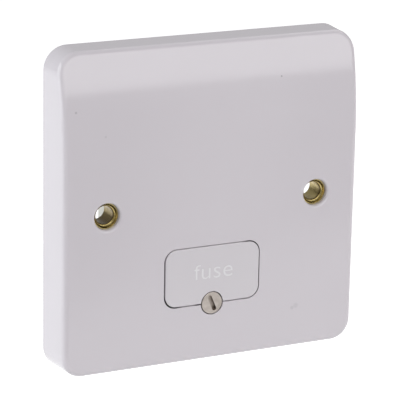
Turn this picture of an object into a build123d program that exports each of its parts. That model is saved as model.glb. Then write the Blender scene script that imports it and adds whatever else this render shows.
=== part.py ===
from build123d import *
import os

# Fused spur unit. X to the right and Z up as seen from the front, Y into the wall, millimetres.
# The origin is the middle of the plate on the wall plane: the plate is in front of it (y < 0),
# the terminals are behind it (y > 0), inside the wall box.

# Front plate
plate_side = 86.0
plate_depth = 11.9
plate_wall = 2.5
plate_draft = 3.63
plate_corner_radius = 6.3
face_edge_radius = 1.6
curve_start = 16.2
curve_radius = 81.0
rib_thickness = 1.2
rib_height = 2.0

# Fixing holes, their brass bushes and the bosses around them
fixing_pitch = 60.3
fixing_hole_radius = 3.5
fixing_hole_lip = 0.8
boss_radius = 5.6
boss_set_back = 5.6
bush_sink = 1.35
bush_flange_thickness = 1.6
bush_land = 0.22
bush_seat_depth = 0.7
bush_seat_round = 0.6
bush_floor_fall = 0.14
bush_bore_radius = 2.45
bush_lip_radius = 0.15
bush_tube_wall = 0.6
bush_tail_height = 1.0
bush_tail_round = 0.25
bush_tail_overhang = 0.8
bush_clearance = 0.08

# Fuse carrier and the well it slides in
carrier_end_room = 0.985
carrier_height = 15.65
carrier_middle = -18.95
carrier_corner_radius = 3.2
carrier_gap = 0.22
carrier_play = 0.1
carrier_face_thickness = 2.2
carrier_edge_radius = 0.3
opening_edge_radius = 0.15
skirt_wall = 1.1
skirt_inset = 0.2
skirt_length = 5.4
well_wall = 1.3
well_length = 6.0

# Fuse and the cradle that carries it
fuse_length = 25.4
fuse_cap_radius = 3.175
fuse_cap_length = 5.6
fuse_cap_wall = 0.25
fuse_cap_round = 0.22
fuse_body_radius = 3.0
fuse_clearance = 0.02
fuse_behind_face = 6.0
cradle_wall = 1.2
cradle_clearance = 0.05
cradle_wrap = 1.2
cradle_arm_width = 2.4
cradle_arm_spacing = 8.0
fuse_end_room = 1.6

# Carrier screw and its threaded insert
screw_below_edge = 0.035
screw_head_radius = 3.0
screw_head_thickness = 1.6
screw_head_gap = 0.2
screw_head_edge = 0.25
screw_slot_length = 4.6
screw_slot_width = 1.2
screw_slot_depth = 1.1
screw_slot_angle = 23.0
screw_neck_radius = 1.1
screw_thread_radius = 1.5
screw_thread_length = 5.5
screw_clearance = 0.05
screw_tip = 0.5
screw_lug_thickness = 2.2
insert_radius = 2.3
insert_length = 5.0
insert_depth = 9.9
insert_groove = 0.3

# Rear housing and the screws that hold it to the plate
housing_front = -4.0
housing_fuse_depth = 8.0
housing_terminal_depth = 13.0
housing_wall = 1.6
housing_floor = 1.8
housing_inner_radius = 1.2
housing_room = 0.7
housing_below_screw = 7.2
housing_rear_edge = 0.8
housing_draft = 1.0
terminal_step = 11.6
post_clearance = 0.3
post_foot_radius = 4.0
pedestal_inset = 0.6
housing_lug_radius = 4.0
housing_lug_thickness = 2.5
housing_head_room = 0.3
upper_lug_height = 18.0
lower_lug_height = -25.0
plate_post_radius = 3.4
housing_screw_radius = 1.5
housing_screw_head_radius = 2.7
housing_screw_head_thickness = 1.7
housing_screw_length = 6.0
housing_screw_room = 0.5
thread_clearance = 0.02
clear_hole_room = 0.25

# Terminals
terminal_pitch = 7.6
terminal_width = 6.4
terminal_height = 9.4
terminal_depth = 10.0
terminal_wall = 1.0
terminal_clearance = 0.1
terminal_edge = 0.5
wire_bore_radius = 2.1
wire_entry_room = 0.5
clamp_screw_radius = 1.7
clamp_screw_length = 5.4
clamp_screw_tip = 0.4
clamp_tip_clearance = 0.2
slot_width = 0.8
slot_depth = 0.8
access_room = 0.4

# Brass strips
strip_thickness = 0.8
strip_bend = 0.5
strip_lap = 7.0
live_strip_width = 4.6
jaw_width = 4.6
jaw_set_in = 0.3
jaw_clearance = 0.06
jaw_past_fuse = 1.5
jaw_flare = 0.7
jaw_flare_length = 1.1
link_bar_height = 6.5
link_width = 4.0
earth_strap_width = 6.0
earth_tail_width = 4.0
earth_step_height = 12.0
strap_ring_radius = 5.0

# Places worked out from the sizes above
touching = 1e-4
face = -plate_depth
inside_face = face + plate_wall
inside_root = face + plate_wall / 2
boss_end = -boss_set_back
fixing_x = fixing_pitch / 2
bush_front = face + bush_sink
bush_shoulder = bush_front + bush_flange_thickness
bush_flange_radius = fixing_hole_radius - bush_clearance
bush_seat_radius = bush_flange_radius - bush_land
bush_floor_radius = (bush_seat_radius + bush_bore_radius) / 2
bush_tube_radius = bush_bore_radius + bush_tube_wall
strap_back = boss_end + strip_thickness
carrier_width = fuse_length + 2 * carrier_end_room
carrier_back = face + carrier_face_thickness
skirt_end = carrier_back + skirt_length
well_end = inside_face + well_length
fuse_axis = face + fuse_behind_face
cradle_radius = fuse_body_radius + cradle_clearance
jaw_start = fuse_length / 2 - fuse_cap_length + jaw_set_in
jaw_inner = fuse_cap_radius + jaw_clearance
screw_height = carrier_middle - carrier_height / 2 - screw_below_edge
screw_lug_front = face + screw_head_thickness
screw_lug_back = screw_lug_front + screw_lug_thickness
screw_lug_hole = (screw_neck_radius + screw_thread_radius) / 2
head_recess_radius = screw_head_radius + screw_head_gap
post_radius = head_recess_radius - post_clearance
insert_front = face + insert_depth
insert_back = insert_front + insert_length
terminal_rear = housing_terminal_depth - housing_floor
terminal_front = terminal_rear - terminal_depth
terminal_bottom = terminal_step + housing_wall + terminal_clearance
terminal_middle = terminal_bottom + terminal_height / 2
terminal_top = terminal_bottom + terminal_height
wire_bore_axis = terminal_front + terminal_wall + wire_bore_radius
clamp_tip = wire_bore_axis + wire_bore_radius + clamp_tip_clearance
access_radius = clamp_screw_radius + access_room
wire_entry_radius = wire_bore_radius + wire_entry_room
strip_front = terminal_front - strip_thickness
strip_top = terminal_bottom + strip_lap
strip_middle = terminal_front - strip_thickness / 2
earth_x = terminal_pitch / 2
neutral_x = earth_x + terminal_pitch
live_x = neutral_x + terminal_pitch
housing_width = 2 * (live_x + terminal_width / 2 + housing_room + housing_wall)
housing_top = terminal_top + housing_room + housing_wall
housing_bottom = screw_height - housing_below_screw
housing_corner_radius = housing_inner_radius + housing_wall
housing_lug_reach = housing_width / 2 + housing_screw_head_radius + housing_head_room
housing_lug_back = housing_front + housing_lug_thickness
lug_heights = (upper_lug_height, lower_lug_height)
fuse_floor = housing_fuse_depth - housing_floor / 2
terminal_floor = housing_terminal_depth - housing_floor / 2


def at_depth(y):
    """Drawing plane parallel to the wall: across is X and up is Z."""
    return Plane.XZ.offset(-y)


def prism(outline, front, rear):
    """Solid with an outline seen from the front, between two depths."""
    return extrude(at_depth(rear) * outline, amount=rear - front)


def bar(x, z, radius, front, rear):
    """Round bar along the depth."""
    return prism(Pos(x, z) * Circle(radius), front, rear)


def area(x_low, x_high, z_low, z_high):
    """Rectangle seen from the front, between its limits."""
    return Pos((x_low + x_high) / 2, (z_low + z_high) / 2) * Rectangle(x_high - x_low, z_high - z_low)


def turned(points, axis):
    """Turned piece from the corners of its half section."""
    return revolve(make_face(Polyline(*points, close=True)), axis)


def edges_at(part, depth, x, z, reach):
    """Edges that lie flat at one depth and have their middle near a point of the face."""
    level = part.edges().filter_by_position(Axis.Y, depth - touching, depth + touching)
    middle = Vector(x, depth, z)
    return level.filter_by(lambda edge: (edge.center(CenterOf.BOUNDING_BOX) - middle).length < reach)


def bent(corners, x_low, x_high):
    """Strip of sheet bent along a line of (depth, height) corners, between two places across."""
    line = FilletPolyline(*corners, radius=strip_bend + strip_thickness / 2)
    return extrude(Plane.YZ.offset(x_low) * trace(line, strip_thickness), amount=x_high - x_low)


def slotted(screw, radius, end):
    """Screw with a driver slot cut across its end, which faces the rear."""
    return screw - prism(Rectangle(2 * radius, slot_width), end - slot_depth, end)


def carrier_outline(growth):
    """Carrier seen from the front, grown or shrunk evenly."""
    width = carrier_width + 2 * growth
    height = carrier_height + 2 * growth
    return Pos(0, carrier_middle) * RectangleRounded(width, height, carrier_corner_radius + growth)


def opening_outline(growth):
    """Opening for the carrier and the lower half of its screw, grown evenly.

    The carrier rests to the right in it, by the play that it needs to slide.
    """
    head = Pos(0, screw_height) * Circle(head_recess_radius + growth)
    drawer = Pos(-carrier_play, 0) * carrier_outline(carrier_gap + growth)
    return drawer + head


# Front plate: one thin moulding with a drafted rim and a face that falls back towards the top

def plate_form(inset):
    """Drafted square block, its face rolled back on a large radius above the middle."""
    side = plate_side - 2 * inset
    outline = RectangleRounded(side, side, plate_corner_radius - inset)
    form = extrude(at_depth(0) * outline, amount=plate_depth - inset, taper=plate_draft)
    above = prism(area(-plate_side, plate_side, curve_start, plate_side), 2 * face, 0)
    roll_axis = Pos(0, face + curve_radius, curve_start) * Rot(0, 90, 0)
    return form - (above - roll_axis * Cylinder(curve_radius - inset, 3 * plate_side))


def plate_shell():
    """Hollow plate with a rounded edge all round its face."""
    outer = plate_form(0)
    flat = outer.faces().sort_by(Axis.Y)[0]
    rolled = outer.faces().filter_by(GeomType.CYLINDER).sort_by(SortBy.AREA)[-1]
    rim = flat.edges().filter_by(lambda edge: edge.center().Z < curve_start - face_edge_radius)
    rim += flat.edges().filter_by(Axis.Z)
    rim += rolled.edges().filter_by(lambda edge: edge.center().Z > curve_start + face_edge_radius)
    return fillet(rim, face_edge_radius) - plate_form(plate_wall)


def plate_ribs():
    """Stiffening ribs from the bosses and posts to the rim."""
    ribs = Sketch()
    for side in (-1, 1):
        for start, height in [(fixing_x, 0)] + [(housing_lug_reach, lug) for lug in lug_heights]:
            reach = plate_side / 2 - plate_wall / 2 - start
            ribs += Pos(side * (start + reach / 2), height) * Rectangle(reach, rib_thickness)
    return prism(ribs, inside_root, inside_face + rib_height)


def front_plate():
    plate = plate_shell() + plate_ribs()
    plate += prism(opening_outline(well_wall), inside_root, well_end)
    for side in (-1, 1):
        plate += bar(side * fixing_x, 0, boss_radius, inside_root, boss_end)
        for height in lug_heights:
            plate += bar(side * housing_lug_reach, height, plate_post_radius, inside_root, housing_front)

    plate -= prism(opening_outline(0), 2 * face, 0)
    screw_hole_radius = housing_screw_radius + thread_clearance
    hole_end = housing_lug_back - housing_screw_length - housing_screw_room
    for side in (-1, 1):
        plate -= bar(side * fixing_x, 0, fixing_hole_radius, 2 * face, bush_shoulder)
        plate -= bar(side * fixing_x, 0, bush_tube_radius + bush_clearance, bush_shoulder, 0)
        for height in lug_heights:
            plate -= bar(side * housing_lug_reach, height, screw_hole_radius, hole_end, 0)
    for side in (-1, 1):
        plate = fillet(edges_at(plate, face, side * fixing_x, 0, fixing_hole_radius), fixing_hole_lip)
    return fillet(edges_at(plate, face, 0, carrier_middle, carrier_width), opening_edge_radius)


# Fixing bushes: turned brass with a cupped seat, tails rolled over behind the earth strap

def fixing_bush(side):
    floor = bush_front + bush_seat_depth
    rim = floor + bush_floor_fall
    tail = bush_tube_radius + bush_tail_overhang
    tail_end = strap_back + bush_tail_height
    section = [
        (bush_seat_radius, bush_front),
        (bush_flange_radius, bush_front),
        (bush_flange_radius, bush_shoulder),
        (bush_tube_radius, bush_shoulder),
        (bush_tube_radius, strap_back),
        (tail, strap_back),
        (tail, tail_end),
        (bush_bore_radius, tail_end),
        (bush_bore_radius, rim),
        (bush_floor_radius, floor),
    ]
    bush = turned(section, Axis.Y)
    bush = fillet(edges_at(bush, floor, 0, 0, bush_bore_radius), bush_seat_round)
    bush = fillet(edges_at(bush, rim, 0, 0, bush_bore_radius), bush_lip_radius)
    bush = fillet(edges_at(bush, tail_end, 0, 0, bush_bore_radius), bush_tail_round)
    return Pos(side * fixing_x, 0, 0) * bush


# Earth strap: pressed brass strip that joins both bushes and steps back to the earth terminal

def earth_strap():
    outline = Rectangle(fixing_pitch, earth_strap_width)
    for side in (-1, 1):
        outline += Pos(side * fixing_x, 0) * Circle(strap_ring_radius)
    for side in (-1, 1):
        outline -= Pos(side * fixing_x, 0) * Circle(bush_tube_radius + bush_clearance)
    strap_middle = boss_end + strip_thickness / 2
    step = earth_step_height + strip_thickness / 2
    corners = [(strap_middle, 0), (strap_middle, step), (strip_middle, step), (strip_middle, strip_top)]
    tail = bent(corners, -earth_tail_width / 2, earth_tail_width / 2)
    return prism(outline, boss_end, strap_back) + tail


# Fuse carrier: moulded drawer with a flush face, a skirt, a saddle for the fuse and a screw lug

def fuse_carrier():
    drawer = prism(carrier_outline(0), face, carrier_back)
    drawer = fillet(edges_at(drawer, face, 0, carrier_middle, carrier_width), carrier_edge_radius)

    ring = carrier_outline(-skirt_inset) - carrier_outline(-skirt_inset - skirt_wall)
    skirt = prism(ring, carrier_back, skirt_end)
    end_room = fuse_cap_radius + fuse_end_room
    window = area(-carrier_width, carrier_width, carrier_middle - end_room, carrier_middle + end_room)
    drawer += skirt - prism(window, fuse_axis - end_room, 0)

    saddle_radius = cradle_radius + cradle_wall
    for side in (-1, 1):
        arm_middle = side * cradle_arm_spacing / 2
        arm = Pos(arm_middle, fuse_axis, carrier_middle) * Rot(0, 90, 0)
        saddle = arm * Cylinder(saddle_radius, cradle_arm_width)
        foot = Pos(arm_middle, carrier_middle) * Rectangle(cradle_arm_width, 2 * saddle_radius)
        saddle += prism(foot, carrier_back, fuse_axis)
        saddle -= arm * Cylinder(cradle_radius, cradle_arm_width)
        drawer += saddle - prism(foot, fuse_axis + cradle_wrap, 0)

    drawer += bar(0, screw_height, screw_head_radius, screw_lug_front, screw_lug_back)
    drawer -= bar(0, screw_height, head_recess_radius, 2 * face, screw_lug_front)
    drawer -= bar(0, screw_height, screw_lug_hole, screw_lug_front, screw_lug_back)
    return drawer - bar(0, screw_height, post_radius + post_clearance, screw_lug_back, 0)


# Carrier screw: waisted below the head so that it stays in the carrier, and the insert it bites in

def carrier_screw():
    thread_end = insert_front + screw_thread_length
    section = [
        (0, face),
        (screw_head_radius, face),
        (screw_head_radius, screw_lug_front),
        (screw_neck_radius, screw_lug_front),
        (screw_neck_radius, insert_front),
        (screw_thread_radius, insert_front),
        (screw_thread_radius, thread_end - screw_tip),
        (screw_thread_radius - screw_tip, thread_end),
        (0, thread_end),
    ]
    screw = turned(section, Axis.Y)
    screw = fillet(edges_at(screw, face, 0, 0, screw_head_radius), screw_head_edge)
    slot = Rot(0, 0, 90 + screw_slot_angle) * SlotOverall(screw_slot_length, screw_slot_width)
    screw -= prism(slot, face, face + screw_slot_depth)
    return Pos(0, 0, screw_height) * screw


def screw_insert():
    bore = screw_thread_radius + screw_clearance
    third = insert_length / 3
    section = [
        (bore, insert_front),
        (insert_radius, insert_front),
        (insert_radius, insert_front + third),
        (insert_radius - insert_groove, insert_front + third),
        (insert_radius - insert_groove, insert_back - third),
        (insert_radius, insert_back - third),
        (insert_radius, insert_back),
        (bore, insert_back),
    ]
    return Pos(0, 0, screw_height) * turned(section, Axis.Y)


# Cartridge fuse: ceramic tube with a pressed metal cap on each end

def along_fuse(points):
    return Pos(0, fuse_axis, carrier_middle) * turned(points, Axis.X)


def fuse_body():
    cap_mouth = fuse_length / 2 - fuse_cap_length
    end = fuse_length / 2 - fuse_cap_wall - fuse_clearance
    inner = fuse_cap_radius - fuse_cap_wall - fuse_clearance
    section = [(-end, 0), (-end, inner), (-cap_mouth, inner), (-cap_mouth, fuse_body_radius)]
    section += [(-x, radius) for x, radius in reversed(section)]
    return along_fuse(section)


def fuse_cap(side):
    mouth = side * (fuse_length / 2 - fuse_cap_length)
    floor = side * (fuse_length / 2 - fuse_cap_wall)
    end = side * fuse_length / 2
    inner = fuse_cap_radius - fuse_cap_wall
    section = [
        (mouth, inner),
        (mouth, fuse_cap_radius),
        (end, fuse_cap_radius),
        (end, 0),
        (floor, 0),
        (floor, inner),
    ]
    cap = along_fuse(section)
    rim = cap.edges().filter_by(GeomType.CIRCLE).filter_by_position(Axis.X, end - touching, end + touching)
    return fillet(rim, fuse_cap_round)


# Rear housing: moulded tray behind the plate, deeper where the terminals are

def housing_form(inset, floor):
    top = housing_top - inset
    bottom = housing_bottom + inset
    outline = RectangleRounded(housing_width - 2 * inset, top - bottom, housing_corner_radius - inset)
    depth = housing_terminal_depth - floor - housing_front
    base = at_depth(housing_front) * Pos(0, (top + bottom) / 2) * outline
    form = extrude(base, amount=-depth, taper=housing_draft)
    step = area(-housing_width, housing_width, 2 * housing_bottom, terminal_step + inset)
    return form - prism(step, housing_fuse_depth - floor, 2 * housing_terminal_depth)


def terminal_places():
    return [side * x for side in (-1, 1) for x in (live_x, neutral_x, earth_x)]


def housing_inside():
    """Partitions, contact pedestals and the post for the carrier screw."""
    parts = bar(0, screw_height, post_radius, screw_lug_back, fuse_floor)
    parts += bar(0, screw_height, post_foot_radius, well_end + post_clearance, fuse_floor)
    partition = terminal_pitch - terminal_width - 2 * terminal_clearance
    partition_low = terminal_step + housing_wall / 2
    partition_high = housing_top - housing_wall / 2
    jaw_middle = jaw_start + jaw_width / 2
    foot = Rectangle(jaw_width - 2 * pedestal_inset, 2 * (jaw_inner - pedestal_inset))
    for side in (-1, 1):
        for x in (terminal_pitch, 2 * terminal_pitch):
            wall = area(side * x - partition / 2, side * x + partition / 2, partition_low, partition_high)
            parts += prism(wall, terminal_front, terminal_floor)
        parts += prism(Pos(side * jaw_middle, carrier_middle) * foot, terminal_front, fuse_floor)
    return parts


def rear_housing():
    outer = housing_form(0, 0)
    rear = outer.faces().sort_by(Axis.Y)[-1]
    fuse_rear = outer.faces().filter_by(Axis.Y).filter_by_position(
        Axis.Y, housing_fuse_depth - touching, housing_fuse_depth + touching
    )[0]
    edges = rear.edges() + fuse_rear.edges().filter_by(
        lambda edge: edge.center().Z < terminal_step - housing_wall
    )
    rounded = fillet(edges, housing_rear_edge)
    tray = rounded - housing_form(housing_wall, housing_floor)
    tray += housing_inside()

    root = housing_lug_reach - housing_width / 2 + housing_wall
    lug = Circle(housing_lug_radius) + Pos(-root / 2, 0) * Rectangle(root, 2 * housing_lug_radius)
    lug -= Circle(housing_screw_radius + clear_hole_room)
    lug = Pos(housing_lug_reach, 0) * lug
    for height in lug_heights:
        for outline in (lug, mirror(lug, Plane.YZ)):
            tray += prism(Pos(0, height) * outline, housing_front, housing_lug_back)
    notch_depth = wire_bore_axis - 2 * housing_front
    notch = Pos(0, -notch_depth / 2) * Rectangle(2 * wire_entry_radius, notch_depth)
    notch += Circle(wire_entry_radius)
    for x in terminal_places():
        tray -= bar(x, terminal_middle, access_radius, terminal_rear, housing_terminal_depth)
        tray -= extrude(Pos(x, wire_bore_axis, terminal_top) * notch, terminal_height)
    tray -= bar(0, screw_height, screw_thread_radius + clear_hole_room, screw_lug_back, insert_front)
    insert_seat = insert_radius + thread_clearance
    return tray - bar(0, screw_height, insert_seat, insert_front, housing_fuse_depth)


def housing_screws():
    """Four pan head screws, driven from behind through the housing's lugs."""
    tip = housing_lug_back - housing_screw_length
    end = housing_lug_back + housing_screw_head_thickness
    section = [
        (0, tip),
        (housing_screw_radius, tip),
        (housing_screw_radius, housing_lug_back),
        (housing_screw_head_radius, housing_lug_back),
        (housing_screw_head_radius, end),
        (0, end),
    ]
    screw = turned(section, Axis.Y)
    screw = fillet(edges_at(screw, end, 0, 0, housing_screw_head_radius), housing_screw_head_thickness / 2)
    screw = slotted(screw, housing_screw_head_radius, end)
    places = [(side * housing_lug_reach, 0, height) for side in (-1, 1) for height in lug_heights]
    return Compound(children=[Pos(*place) * screw for place in places])


# Terminals: drilled brass blocks, wires in from the top, each clamped by a screw from behind

def terminal(middle, ways):
    width = (ways - 1) * terminal_pitch + terminal_width
    outline = Pos(middle, terminal_middle) * Rectangle(width, terminal_height)
    body = prism(outline, terminal_front, terminal_rear)
    body = chamfer(body.edges().filter_by(Axis.Z), terminal_edge)
    thread_radius = clamp_screw_radius + thread_clearance
    for way in range(ways):
        x = middle + (way - (ways - 1) / 2) * terminal_pitch
        body -= Pos(x, wire_bore_axis, terminal_middle) * Cylinder(wire_bore_radius, terminal_height)
        body -= bar(x, terminal_middle, thread_radius, wire_bore_axis, terminal_rear)
    return body


def terminal_screw(x):
    """Headless clamp screw, backed out so that a wire can go in."""
    end = clamp_tip + clamp_screw_length
    section = [
        (0, clamp_tip),
        (clamp_screw_radius - clamp_screw_tip, clamp_tip),
        (clamp_screw_radius, clamp_tip + clamp_screw_tip),
        (clamp_screw_radius, end),
        (0, end),
    ]
    screw = slotted(turned(section, Axis.Y), clamp_screw_radius, end)
    return Pos(x, 0, terminal_middle) * screw


# Live contacts: one brass strip on each side, from the terminal down to the jaws for a fuse cap

def fuse_contact(side):
    strip_low = carrier_middle - live_strip_width / 2
    strip_out = live_x + live_strip_width / 2
    jaw_end = jaw_start + jaw_width
    outline = area(live_x - live_strip_width / 2, strip_out, strip_low, strip_top)
    outline += area(jaw_end, strip_out, strip_low, strip_low + live_strip_width)

    tip = fuse_axis - jaw_past_fuse
    arm = jaw_inner + strip_thickness / 2
    half = [(tip - jaw_flare_length, arm + jaw_flare), (tip, arm), (strip_middle, arm)]
    corners = [(depth, carrier_middle - reach) for depth, reach in half]
    corners += [(depth, carrier_middle + reach) for depth, reach in reversed(half)]
    contact = prism(outline, strip_front, terminal_front) + bent(corners, jaw_start, jaw_end)
    return contact if side > 0 else mirror(contact, Plane.YZ)


def neutral_link():
    """Flat brass strip that joins the two neutral terminals below the earth terminal."""
    low = link_bar_height - link_width / 2
    outline = area(-neutral_x - link_width / 2, neutral_x + link_width / 2, low, low + link_width)
    for side in (-1, 1):
        leg = side * neutral_x
        outline += area(leg - link_width / 2, leg + link_width / 2, low, strip_top)
    return prism(outline, strip_front, terminal_front)


pieces = {
    "front_plate": front_plate(),
    "fixing_bush_left": fixing_bush(-1),
    "fixing_bush_right": fixing_bush(1),
    "earth_strap": earth_strap(),
    "fuse_carrier": fuse_carrier(),
    "carrier_screw": carrier_screw(),
    "screw_insert": screw_insert(),
    "fuse_body": fuse_body(),
    "fuse_cap_left": fuse_cap(-1),
    "fuse_cap_right": fuse_cap(1),
    "rear_housing": rear_housing(),
    "housing_screws": housing_screws(),
    "terminal_supply_live": terminal(-live_x, 1),
    "terminal_supply_neutral": terminal(-neutral_x, 1),
    "terminal_earth": terminal(0, 2),
    "terminal_load_neutral": terminal(neutral_x, 1),
    "terminal_load_live": terminal(live_x, 1),
    "terminal_screw_supply_live": terminal_screw(-live_x),
    "terminal_screw_supply_neutral": terminal_screw(-neutral_x),
    "terminal_screw_earth_one": terminal_screw(-earth_x),
    "terminal_screw_earth_two": terminal_screw(earth_x),
    "terminal_screw_load_neutral": terminal_screw(neutral_x),
    "terminal_screw_load_live": terminal_screw(live_x),
    "fuse_contact_supply": fuse_contact(-1),
    "fuse_contact_load": fuse_contact(1),
    "neutral_link": neutral_link(),
}

os.makedirs("parts", exist_ok=True)
for name, shape in pieces.items():
    export_step(shape, f"parts/{name}.step")
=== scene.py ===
import math

import bmesh
import bpy
from mathutils import Matrix, Vector


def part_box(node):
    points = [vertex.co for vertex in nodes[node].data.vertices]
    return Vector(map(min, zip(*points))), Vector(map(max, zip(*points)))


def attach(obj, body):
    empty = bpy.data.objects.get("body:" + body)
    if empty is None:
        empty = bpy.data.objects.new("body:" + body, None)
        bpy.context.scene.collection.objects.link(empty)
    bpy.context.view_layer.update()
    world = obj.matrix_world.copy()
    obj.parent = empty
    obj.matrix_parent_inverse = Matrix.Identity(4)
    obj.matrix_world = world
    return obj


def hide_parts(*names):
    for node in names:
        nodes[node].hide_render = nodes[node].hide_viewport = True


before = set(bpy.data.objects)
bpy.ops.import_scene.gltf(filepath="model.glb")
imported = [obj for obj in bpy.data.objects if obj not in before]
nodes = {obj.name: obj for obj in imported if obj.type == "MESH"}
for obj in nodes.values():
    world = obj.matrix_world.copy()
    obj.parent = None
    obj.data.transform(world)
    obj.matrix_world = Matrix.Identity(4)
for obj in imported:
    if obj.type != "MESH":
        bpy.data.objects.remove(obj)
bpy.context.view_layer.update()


# Front plate: a hollow square plate of hard white moulded plastic, polished by its mould.
# Its face falls back towards the top, and its rim stands on the wall. Use has left specks on
# the face, and the gap round the fuse carrier is darkened with painted shade.

class Field:
    """A value that varies over a surface, on one socket. Arithmetic on it adds Math nodes."""

    def __init__(self, socket):
        self.socket = socket
        self.tree = socket.id_data

    def node(self, kind, settings=None, inputs=None, output=0):
        """Adds a node of one kind to this field's tree and gives one of its outputs."""
        added = self.tree.nodes.new(kind)
        for name, value in (settings or {}).items():
            if name == "stops":
                set_stops(added.color_ramp, value)
            else:
                setattr(added, name, value)
        for name, value in (inputs or {}).items():
            feed(added.inputs[name], value)
        return Field(added.outputs[output])

    def maths(self, operation, first, second):
        return self.node("ShaderNodeMath", {"operation": operation}, {0: first, 1: second})

    def __add__(self, other):
        return self.maths("ADD", self, other)

    def __radd__(self, other):
        return self.maths("ADD", other, self)

    def __sub__(self, other):
        return self.maths("SUBTRACT", self, other)

    def __rsub__(self, other):
        return self.maths("SUBTRACT", other, self)

    def __mul__(self, other):
        return self.maths("MULTIPLY", self, other)

    def __rmul__(self, other):
        return self.maths("MULTIPLY", other, self)

    def root(self):
        return self.maths("SQRT", self, 0.0)

    def size(self):
        return self.maths("ABSOLUTE", self, 0.0)

    def part(self, axis):
        """One coordinate of a place."""
        return self.node("ShaderNodeSeparateXYZ", {}, {"Vector": self}, axis)

    def stretched(self, x, y, z):
        """A place with its coordinates multiplied, to draw out what is spread over it."""
        return self.node("ShaderNodeVectorMath", {"operation": "MULTIPLY"}, {0: self, 1: (x, y, z)})

    def noise(self, scale, detail=2.0, roughness=0.5):
        """Cloudy variation around 0.5 at a scale of so many cells in a metre; self is the place."""
        spread = {"Vector": self, "Scale": scale, "Detail": detail, "Roughness": roughness}
        return self.node("ShaderNodeTexNoise", {}, spread, "Fac")

    def mix(self, low, high):
        """Colour between two colours, by this field from 0 to 1."""
        return self.node("ShaderNodeMix", {"data_type": "RGBA"}, {0: self, 6: low, 7: high}, 2)

    def ramp(self, *stops):
        """This field sent through (place, grey) stops."""
        return self.node("ShaderNodeValToRGB", {"stops": stops}, {"Fac": self})

    def bump(self, height, strength):
        """Normal of a surface whose height, in metres times this field, varies."""
        return self.node("ShaderNodeBump", {}, {"Height": self, "Distance": height, "Strength": strength})


def feed(socket, value):
    """Links a field to a socket, or sets the socket to a plain value."""
    if isinstance(value, Field):
        socket.id_data.links.new(value.socket, socket)
    else:
        socket.default_value = value


def set_stops(ramp, stops):
    while len(ramp.elements) < len(stops):
        ramp.elements.new(1.0)
    for element, (place, grey) in zip(ramp.elements, stops):
        element.position = place
        element.color = (grey, grey, grey, 1.0)


def colour(red, green, blue):
    """Colour given as it looks on a screen, 0 to 255, in the renderer's own light values."""
    return tuple(((c / 255 + 0.055) / 1.055) ** 2.4 for c in (red, green, blue)) + (1.0,)


def new_finish(name, **plain):
    """Material with one shader, its plain sockets set, and the place on the piece as a field."""
    material = bpy.data.materials.new(name)
    material.use_nodes = True
    shader = material.node_tree.nodes["Principled BSDF"]
    for socket, value in plain.items():
        shader.inputs[socket.replace("_", " ")].default_value = value
    place = Field(material.node_tree.nodes.new("ShaderNodeTexCoord").outputs["Object"])
    return material, shader.inputs, place


def moulded_plastic(name, pale, deep, gloss, grain, dirt_and_shade=None, dirt_and_shade_colour=None):
    """Polished moulding: faint flow marks in its colour, and a very slight orange peel.

    Where the dirt and shade field is 1, it has the dirt and shade colour: specks of dirt, and painted shade
    in gaps.
    """
    material, shader, place = new_finish(name, IOR=1.5)
    surface = place.noise(flow_scale, flow_detail).mix(deep, pale)
    if dirt_and_shade:
        surface = dirt_and_shade(place).mix(surface, dirt_and_shade_colour)
    feed(shader["Base Color"], surface)
    feed(shader["Roughness"], gloss + gloss_spread * place.noise(gloss_scale))
    feed(shader["Normal"], place.noise(grain).bump(peel_height, peel_strength))
    return material


def finish_nodes(material, slot, *names):
    """Gives CAD pieces their finish."""
    for name in names:
        nodes[name].data.materials.clear()
        nodes[name].data.materials.append(material)


def spots(place, marks):
    """Soft round spots. A mark gives its place across and up and its radius, in mm, and its share."""
    covered = 0.0
    for across, up, radius, share in marks.values():
        aside = place.part("X") - across * mm
        above = place.part("Z") - up * mm
        away = (aside * aside + above * above).root() * (1 / (radius * mm))
        covered = covered + share * away.ramp((spot_core, 1.0), (1.0, 0.0))
    return covered


def below_face(place):
    """Depth below the flat of the face: 0 on it, and 1 at the back of the plate's skin."""
    return (place.part("Y") - plate_low.y) * (1 / plate_skin)


def face_specks(place):
    """Specks of dirt and a small scuff on the front of the face. The hollow behind it has none."""
    in_front = below_face(place).ramp((0.8, 1.0), (1.0, 0.0))
    return in_front * spots(place, face_marks)


def gap_painted_shade(place):
    """Painted shade in the gap round the carrier: a soft dark line just below the face, darkest in a few
    places.
    """
    in_gap = below_face(place).ramp((0.01, 0.0), (0.07, 1.0), (0.16, 1.0), (0.5, 0.0))
    return in_gap * spots(place, gap_shade_marks)


def specks_and_gap_shade(place):
    """The specks of dirt on the plate, and the painted shade in its gap."""
    return face_specks(place) + gap_painted_shade(place)


mm = 0.001
flow_scale = 45.0
flow_detail = 3.0
gloss_scale = 260.0
gloss_spread = 0.04
peel_height = 0.01 * mm
peel_strength = 0.2
spot_core = 0.5
face_marks = {
    "upper right speck": (19.7, 32.2, 0.33, 0.36),
    "upper left speck": (-38.7, 27.9, 0.40, 0.23),
    "faint speck": (-30.8, 21.1, 0.40, 0.11),
    "scuff": (24.0, -31.3, 0.65, 0.105),
    "end of the scuff": (25.1, -30.8, 0.90, 0.09),
}
# Where the painted shade in the gap is darkest: place across and up, radius and share.
gap_shade_marks = {
    "lower left corner": (-12.0, -26.5, 3.6, 1.0),
    "upper right corner": (11.9, -11.2, 3.6, 0.9),
    "beside the screw": (-3.4, -27.2, 2.1, 0.9),
    "left side": (-13.8, -18.5, 9.0, 0.3),
    "right side": (13.8, -20.0, 9.0, 0.5),
}
plate_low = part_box("front_plate")[0]
plate_skin = 2.2 * mm
plastic_grain = 420.0
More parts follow.
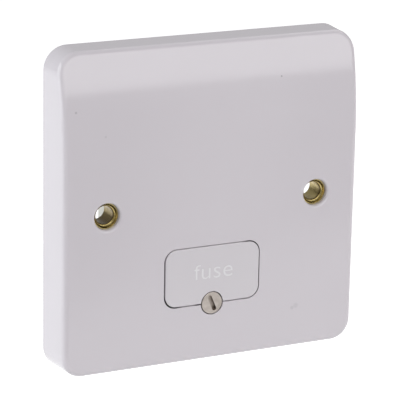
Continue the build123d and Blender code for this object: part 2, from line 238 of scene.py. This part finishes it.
# Colour of the specks of dirt, and of the painted shade in the gap.
speck_and_shade_colour = colour(45, 42, 42)
plate_white = moulded_plastic(
    "plate white", colour(223, 217, 223), colour(220, 214, 220), gloss=0.10, grain=plastic_grain,
    dirt_and_shade=specks_and_gap_shade, dirt_and_shade_colour=speck_and_shade_colour,
)
finish_nodes(plate_white, "plate_plastic", "front_plate")


# Fixing bushes: short brass tubes turned on a lathe, dropped into the plate from the front and
# rolled over behind the earth strap. Their cupped seats take the heads of the wall box screws.

def from_bush_axis(place):
    """Distance from the axis of the bush on the same side."""
    across = place.part("X").size() - bush_x
    up = place.part("Z")
    return (across * across + up * up).root()


def bare_metal(name, bright, dull, smooth, lines, line_height, painted_shade=None, shade_colour=None):
    """Bare metal with a patchy film of tarnish and fine tool marks along a field.

    Where the painted shade field is 1, it has the shade colour: painted shade in hollows.
    """
    material, shader, place = new_finish(name, Metallic=1.0)
    marks = lines(place)
    tarnish_and_shade_share = place.noise(tarnish_scale, tarnish_detail).ramp((0.35, 0.0), (0.7, 1.0))
    surface = tarnish_and_shade_share.mix(bright, dull)
    if painted_shade:
        surface = painted_shade(place).mix(surface, shade_colour)
    feed(shader["Base Color"], surface)
    feed(shader["Roughness"], smooth + tarnish_dulling * tarnish_and_shade_share + mark_dulling * marks)
    feed(shader["Normal"], marks.bump(line_height, mark_strength))
    return material


def lathe_rings(place):
    """Tool marks of a lathe: rings on faces, and turns along round walls."""
    run = from_bush_axis(place) + place.part("Y")
    return place.node(
        "ShaderNodeTexNoise", {"noise_dimensions": "1D"}, {"W": run, "Scale": 1 / ring_spacing}, "Fac"
    )


def shade_low_in_hollow(place, axis_z, reach):
    """Share of painted shade in a hollow: 1 at its bottom and 0 at its top."""
    return 0.5 - (place.part("Z") - axis_z) * (0.5 / reach)


def bore_painted_shade(place):
    """Painted shade on the wall of the bore: a dark line at its mouth, more towards the bottom, and more in
    the left bush.
    """
    past_wall = from_bush_axis(place) - bush_bore
    on_wall = (past_wall * (1 / bush_mouth)).ramp((0.1, 1.0), (0.8, 0.0))
    mouth_line = ((place.part("Y") - bush_low.y) * (1 / bush_line)).ramp((0.55, 1.0), (1.0, 0.0))
    by_side = shade_share - place.part("X") * (shade_lean / bush_x)
    tarnish_and_shade_share = (shade_on_top + (1 - shade_on_top) * shade_low_in_hollow(place, 0.0, bush_bore)) * by_side
    return on_wall * (tarnish_and_shade_share + mouth_line * (1 - tarnish_and_shade_share))


tarnish_scale = 700.0
tarnish_detail = 4.0
tarnish_dulling = 0.10
mark_dulling = 0.08
mark_strength = 0.5
ring_spacing = 0.09 * mm
# How much painted shade the bores get, how much more the left one gets, and how much their tops get.
shade_share = 0.68
shade_lean = 0.32
shade_on_top = 0.5
bush_low, bush_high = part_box("fixing_bush_right")
bush_x = (bush_low.x + bush_high.x) / 2
bush_bore = 2.45 * mm
bush_mouth = 0.5 * mm
bush_line = 1.7 * mm
brass_bright = colour(206, 189, 134)
brass_dull = colour(166, 149, 96)
# Colour of the painted shade in the bores.
bore_shade_colour = colour(84, 66, 28)
bush_brass = bare_metal(
    "bush brass", brass_bright, brass_dull, smooth=0.16, lines=lathe_rings, line_height=0.01 * mm,
    painted_shade=bore_painted_shade, shade_colour=bore_shade_colour,
)
finish_nodes(bush_brass, "bush_brass", "fixing_bush_left", "fixing_bush_right")


# Brass strips and terminals: the earth strap, the live contacts and the neutral link are pressed
# from half hard sheet and the terminals cut from bar, so their faces keep the fine lines of
# rolling. Each is held between mouldings.

def rolled(place):
    """Fine streaks along the sheet, as rolling leaves them."""
    return place.stretched(1.0, 1.0, rolling_draw).noise(rolling_scale, detail=1.0)


rolling_draw = 0.06
rolling_scale = 5200.0
strip_brass = bare_metal(
    "strip brass", brass_bright, brass_dull, smooth=0.26, lines=rolled, line_height=0.008 * mm
)
finish_nodes(
    strip_brass, "strip_brass", "earth_strap", "fuse_contact_supply", "fuse_contact_load", "neutral_link",
    "terminal_supply_live", "terminal_supply_neutral", "terminal_earth", "terminal_load_neutral",
    "terminal_load_live", "screw_insert",
)


# Fuse carrier: a small drawer of the same white plastic, flush with the plate, with a saddle for
# the fuse behind its face. It pulls straight out once its screw is undone.

# The carrier's edges in the gap get the painted shade too.
carrier_white = moulded_plastic(
    "carrier white", colour(224, 219, 224), colour(221, 216, 221), gloss=0.11, grain=plastic_grain,
    dirt_and_shade=gap_painted_shade, dirt_and_shade_colour=speck_and_shade_colour,
)
finish_nodes(carrier_white, "carrier_plastic", "fuse_carrier")


# Word on the carrier: low letters raised from the moulding, paler than the face around them. It says what
# is behind the face.

def add_piece(name, data):
    """New object in the scene for a mesh, a lamp or a camera."""
    piece = bpy.data.objects.new(name, data)
    bpy.context.scene.collection.objects.link(piece)
    return piece


def letters(name, text, spacing, thinning):
    """Mesh of a word in plain letters, one unit high and thick, its foot in the middle of its width."""
    drawn = bpy.data.curves.new(name, "FONT")
    drawn.body = text
    drawn.space_character = spacing
    drawn.offset = -thinning
    drawn.extrude = 0.5
    drawn.resolution_u = 6
    source = bpy.data.objects.new(name, drawn)
    mesh = bpy.data.meshes.new_from_object(source)
    bpy.data.objects.remove(source)
    across = [vertex.co.x for vertex in mesh.vertices]
    up = [vertex.co.y for vertex in mesh.vertices]
    size = 1 / (max(up) - min(up))
    middle = (min(across) + max(across)) / 2
    mesh.transform(Matrix.Diagonal((size, size, 1.0, 1.0)) @ Matrix.Translation((-middle, -min(up), 0.0)))
    return mesh


def raise_short_letters(mesh, drawn, wanted):
    """Brings the tops of the letters that have no stem up to another share of the word's height."""
    for vertex in mesh.vertices:
        share = vertex.co.y
        if share < drawn:
            vertex.co.y = share * wanted / drawn
        else:
            vertex.co.y = 1 - (1 - share) * (1 - wanted) / (1 - drawn)


def raised_word(mesh, width, height, rise, turn, foot):
    """Puts a word on an upright face that is turned from the front, its foot on a point of the face."""
    upright = Matrix.Rotation(turn, 4, "Z") @ Matrix.Rotation(math.pi / 2, 4, "X")
    mesh.transform(Matrix.Translation(foot) @ upright @ Matrix.Diagonal((width, height, rise, 1.0)))
    return add_piece(mesh.name, mesh)


carrier_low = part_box("fuse_carrier")[0]
word_height = 4.03 * mm
word_widening = 1.18
word_rise = 0.16 * mm
word_foot = Vector((0.2 * mm, carrier_low.y, -19.95 * mm))
word_mesh = letters("fuse_word", "fuse", spacing=1.04, thinning=0.008)
raise_short_letters(word_mesh, drawn=0.64, wanted=0.72)
fuse_word = raised_word(
    word_mesh, word_widening * word_height, word_height, word_rise, turn=0.0, foot=word_foot
)
letter_white = moulded_plastic(
    "letter white", colour(242, 240, 243), colour(238, 236, 239), gloss=0.20, grain=900.0
)
fuse_word.data.materials.append(letter_white)
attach(fuse_word, "carrier")


# Carrier screw: plated steel with a flat slotted head, waisted below the head so that it stays
# in the carrier when it is undone. Its thread is rolled, and the lower end of its slot has painted shade.

def brushed(place):
    """Fine straight scratches from side to side across a face."""
    return place.stretched(brush_draw, 1.0, 1.0).noise(brush_scale)


def slot_painted_shade(place):
    """Painted shade below the screw's face, at the lower end of the slot."""
    below = ((place.part("Y") - screw_low.y) * (1 / screw_slot)).ramp((0.35, 0.0), (1.0, 1.0))
    return below * shade_low_in_hollow(place, screw_z, screw_reach)


def rolled_thread(form, axis_z, start, end):
    """Adds a threaded shank along the depth, with a coned point, and gives the edges of its open start."""
    rows = int((end - start) / thread_pitch * thread_steps)
    grid = []
    for row in range(rows + 1):
        y = start + (end - start) * row / rows
        widest = min(thread_crest, thread_root + (y - start), thread_crest - thread_point + (end - y))
        ring = []
        for turn in range(thread_sides):
            along = ((y - start) / thread_pitch - turn / thread_sides) % 1.0
            fall = (thread_crest - thread_root) * min(1.0, thread_flank * abs(along - 0.5))
            radius = max(thread_root - thread_point / 2, widest - fall)
            angle = 2 * math.pi * turn / thread_sides
            ring.append(form.verts.new((radius * math.cos(angle), y, axis_z + radius * math.sin(angle))))
        grid.append(ring)
    for low, high in zip(grid, grid[1:]):
        for turn in range(thread_sides):
            after = (turn + 1) % thread_sides
            form.faces.new((low[turn], high[turn], high[after], low[after])).smooth = True
    form.faces.new(reversed(grid[-1]))
    return [form.edges.get((grid[0][turn - 1], grid[0][turn])) for turn in range(thread_sides)]


def at_cut(vertex):
    """Whether a point lies where the plain shank is cut off."""
    return abs(vertex.co.y - neck_end) < cut_slack


brush_draw = 0.10
brush_scale = 9000.0
screw_low, screw_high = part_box("carrier_screw")
screw_z = (screw_low.z + screw_high.z) / 2
screw_reach = (screw_high.z - screw_low.z) / 2
screw_slot = 0.5 * mm
thread_length = 5.5 * mm
thread_crest = 1.5 * mm
thread_root = 1.15 * mm
thread_pitch = 0.6 * mm
thread_point = 0.5 * mm
thread_flank = 2.4
thread_sides = 32
thread_steps = 10
thread_run_in = 0.3 * mm
thread_start = screw_high.y - thread_length
neck_end = thread_start - thread_run_in
cut_slack = 0.003 * mm
screw_form = bmesh.new()
screw_form.from_mesh(nodes["carrier_screw"].data)
bmesh.ops.bisect_plane(
    screw_form, geom=screw_form.verts[:] + screw_form.edges[:] + screw_form.faces[:],
    plane_co=(0.0, neck_end, 0.0), plane_no=(0.0, 1.0, 0.0), clear_outer=True,
)
cut_points = [vertex for vertex in screw_form.verts if at_cut(vertex)]
bmesh.ops.remove_doubles(screw_form, verts=cut_points, dist=cut_slack)
neck_rim = [edge for edge in screw_form.edges if edge.is_boundary and all(map(at_cut, edge.verts))]
thread_rim = rolled_thread(screw_form, screw_z, thread_start, screw_high.y)
bmesh.ops.bridge_loops(screw_form, edges=neck_rim + thread_rim)
screw_mesh = bpy.data.meshes.new("carrier_screw_threaded")
screw_form.to_mesh(screw_mesh)
screw_form.free()
threaded_screw = add_piece("carrier_screw_threaded", screw_mesh)
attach(threaded_screw, "carrier_screw")
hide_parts("carrier_screw")
# The lower end of the slot is darkened with painted shade.
nickel = bare_metal(
    "nickel plate", colour(182, 174, 168), colour(165, 157, 150), smooth=0.30, lines=brushed,
    line_height=0.01 * mm, painted_shade=slot_painted_shade, shade_colour=colour(128, 118, 110),
)
threaded_screw.data.materials.append(nickel)


# Cartridge fuse: a glazed ceramic tube with a plated cap pressed on each end. It lies in the
# carrier's saddle, and its caps go into the jaws of the live contacts.

ceramic = moulded_plastic(
    "fuse ceramic", colour(236, 231, 219), colour(228, 222, 208), gloss=0.28, grain=700.0
)
finish_nodes(ceramic, "fuse_ceramic", "fuse_body")
cap_metal = bare_metal(
    "fuse cap plate", colour(214, 210, 203), colour(190, 184, 176), smooth=0.18, lines=rolled,
    line_height=0.006 * mm,
)
finish_nodes(cap_metal, "fuse_cap_metal", "fuse_cap_left", "fuse_cap_right")


# Rear housing: a tray of pale grey plastic with a finer, duller mould finish, screwed to the
# posts of the plate. It carries the terminals and the fuse contacts.

housing_grey = moulded_plastic(
    "housing grey", colour(206, 204, 196), colour(200, 198, 190), gloss=0.42, grain=1500.0
)
finish_nodes(housing_grey, "housing_plastic", "rear_housing")


# Terminal letters: raised from the back of the housing below each driver hole, with the words
# that say which side the wires come from and go to. They are part of the moulding.

def housing_mark(name, text, spacing, width, height, foot):
    """Raises letters from the back of the housing, to be read from behind."""
    mark_mesh = letters(name, text, spacing, thinning=0.0)
    mark = raised_word(mark_mesh, width, height, letter_rise, turn=math.pi, foot=foot)
    mark.data.materials.append(housing_grey)
    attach(mark, "unit")


housing_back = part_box("rear_housing")[1].y
letter_rise = 0.7 * mm
letter_size = 2.7 * mm
letter_drop = 5.5 * mm
letter_spacing = 1.0
for terminal, letter in (
    ("supply_live", "L"), ("supply_neutral", "N"), ("earth_one", "E"),
    ("earth_two", "E"), ("load_neutral", "N"), ("load_live", "L"),
):
    low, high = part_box("terminal_screw_" + terminal)
    foot = Vector(((low.x + high.x) / 2, housing_back, (low.z + high.z) / 2 - letter_drop))
    housing_mark("mark_" + terminal, letter, letter_spacing, letter_size, letter_size, foot)

fuse_cover = 8.0 * mm
side_size = 3.0 * mm
side_drop = 7.5 * mm
side_widening = 1.1
side_spacing = 1.05
for side, terminals in (
    ("supply", ("supply_live", "supply_neutral")),
    ("load", ("load_neutral", "load_live")),
):
    ends = [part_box("terminal_" + terminal) for terminal in terminals]
    middle = sum(low.x + high.x for low, high in ends) / (2 * len(ends))
    foot = Vector((middle, fuse_cover, ends[0][0].z - side_drop))
    housing_mark("mark_" + side, side, side_spacing, side_widening * side_size, side_size, foot)


# Housing screws and terminal screws: slotted screws, zinc plated steel into the plate's posts
# and brass in the terminals.

zinc = bare_metal(
    "zinc plate", colour(203, 206, 210), colour(178, 182, 188), smooth=0.28, lines=brushed,
    line_height=0.008 * mm,
)
finish_nodes(zinc, "zinc_screw", "housing_screws")
clamp_brass = bare_metal(
    "clamp screw brass", brass_bright, brass_dull, smooth=0.24, lines=brushed, line_height=0.008 * mm
)
clamp_screws = [name for name in nodes if name.startswith("terminal_screw")]
finish_nodes(clamp_brass, "clamp_screw_brass", *clamp_screws)


# Floor: a plain pale sheet that ends a little in front of the unit, bright enough to be white
# where it is seen. It keeps the shadow.

def light_path(tree):
    """How a ray comes: from the camera, out of polished metal, or through something clear."""
    path = tree.nodes.new("ShaderNodeLightPath").outputs
    return Field(path["Is Camera Ray"]), Field(path["Is Glossy Ray"]), Field(path["Is Transmission Ray"])


floor_height = -150.0 * mm
floor_front = 317.0 * mm
floor_turn = math.radians(-21.3)
floor_half = 4.0
floor_tone = 0.85
floor_corners = [(-floor_half, 0.0), (floor_half, 0.0), (floor_half, floor_half), (-floor_half, floor_half)]
floor_mesh = bpy.data.meshes.new("floor")
floor_mesh.from_pydata([(x, y, 0.0) for x, y in floor_corners], [], [(0, 1, 2, 3)])
floor_mesh.transform(
    Matrix.Translation((0.0, -floor_front, floor_height)) @ Matrix.Rotation(floor_turn, 4, "Z")
)
add_piece("floor", floor_mesh)
floor_finish, floor_shader = new_finish("floor white", Roughness=0.9, Emission_Strength=1.0)[:2]
floor_shader["Base Color"].default_value = (floor_tone, floor_tone, floor_tone, 1.0)
glow_when_seen = 0.7
glow_in_mirrors = 0.8
seen, mirrored, through = light_path(floor_finish.node_tree)
floor_glow = glow_when_seen * (seen + through) + glow_in_mirrors * mirrored
feed(floor_shader["Emission Color"], floor_glow.mix((0.0, 0.0, 0.0, 1.0), (1.0, 1.0, 1.0, 1.0)))
floor_mesh.materials.append(floor_finish)


# Light: a broad soft box in front and above, one on the left, one above and behind on the right,
# a low strip that lifts the foot of the face, and even light all round.

def soft_box(name, turn, rise, distance, width, height, radiance, tint=(1.0, 1.0, 1.0)):
    """Rectangular lamp facing the unit, so many degrees to the right of straight in front and up."""
    lamp = bpy.data.lights.new(name, "AREA")
    lamp.shape = "RECTANGLE"
    lamp.size = width
    lamp.size_y = height
    lamp.energy = radiance * math.pi * width * height
    lamp.color = tint
    across, up = math.radians(turn), math.radians(rise)
    away = Vector((math.sin(across) * math.cos(up), -math.cos(across) * math.cos(up), math.sin(up)))
    facing = away.to_track_quat("Z", "Y").to_matrix().to_4x4()
    add_piece(name, lamp).matrix_world = Matrix.Translation(away * distance) @ facing


cool_tint = (0.97, 1.01, 1.02)
soft_box("front soft box", turn=15.0, rise=23.7, distance=1.3, width=1.62, height=0.675, radiance=2.79)
soft_box(
    "left soft box", turn=-102.0, rise=18.0, distance=1.1, width=1.1, height=1.0, radiance=2.6,
    tint=cool_tint,
)
soft_box("top soft box", turn=112.0, rise=50.0, distance=1.1, width=0.9, height=0.5, radiance=1.1)
soft_box("low strip", turn=26.7, rise=-6.0, distance=1.3, width=0.11, height=0.66, radiance=0.65)

world = bpy.data.worlds.new("studio")
world.use_nodes = True
bpy.context.scene.world = world
ambient = 0.22
reflected = 0.51
seen, mirrored, through = light_path(world.node_tree)
sky = world.node_tree.nodes["Background"].inputs
sky["Color"].default_value = (1.0, 1.0, 1.0, 1.0)
feed(sky["Strength"], ambient + (1.0 - ambient) * (seen + through) + (reflected - ambient) * mirrored)


# Camera: a long lens in front of the unit, to its left and above, turned very slightly about
# its own line of sight.

camera_turn = math.radians(26.53)
camera_drop = math.radians(16.01)
camera_roll = math.radians(-1.12)
camera_distance = 610.0 * mm
camera_aim = Vector((-1.16, -6.0, -0.14)) * mm
lens_length = 210.0
sensor_width = 36.0
forward = Vector((
    math.sin(camera_turn) * math.cos(camera_drop),
    math.cos(camera_turn) * math.cos(camera_drop),
    -math.sin(camera_drop),
))
level = Vector((math.cos(camera_turn), -math.sin(camera_turn), 0.0))
down = forward.cross(level)
right = math.cos(camera_roll) * level + math.sin(camera_roll) * down
under = math.cos(camera_roll) * down - math.sin(camera_roll) * level
facing = Matrix((right, -under, -forward)).transposed().to_4x4()
lens = bpy.data.cameras.new("camera")
lens.lens = lens_length
lens.sensor_width = sensor_width
camera = add_piece("camera", lens)
camera.matrix_world = Matrix.Translation(camera_aim - camera_distance * forward) @ facing
bpy.context.scene.camera = camera
bpy.context.scene.view_settings.view_transform = "Standard"
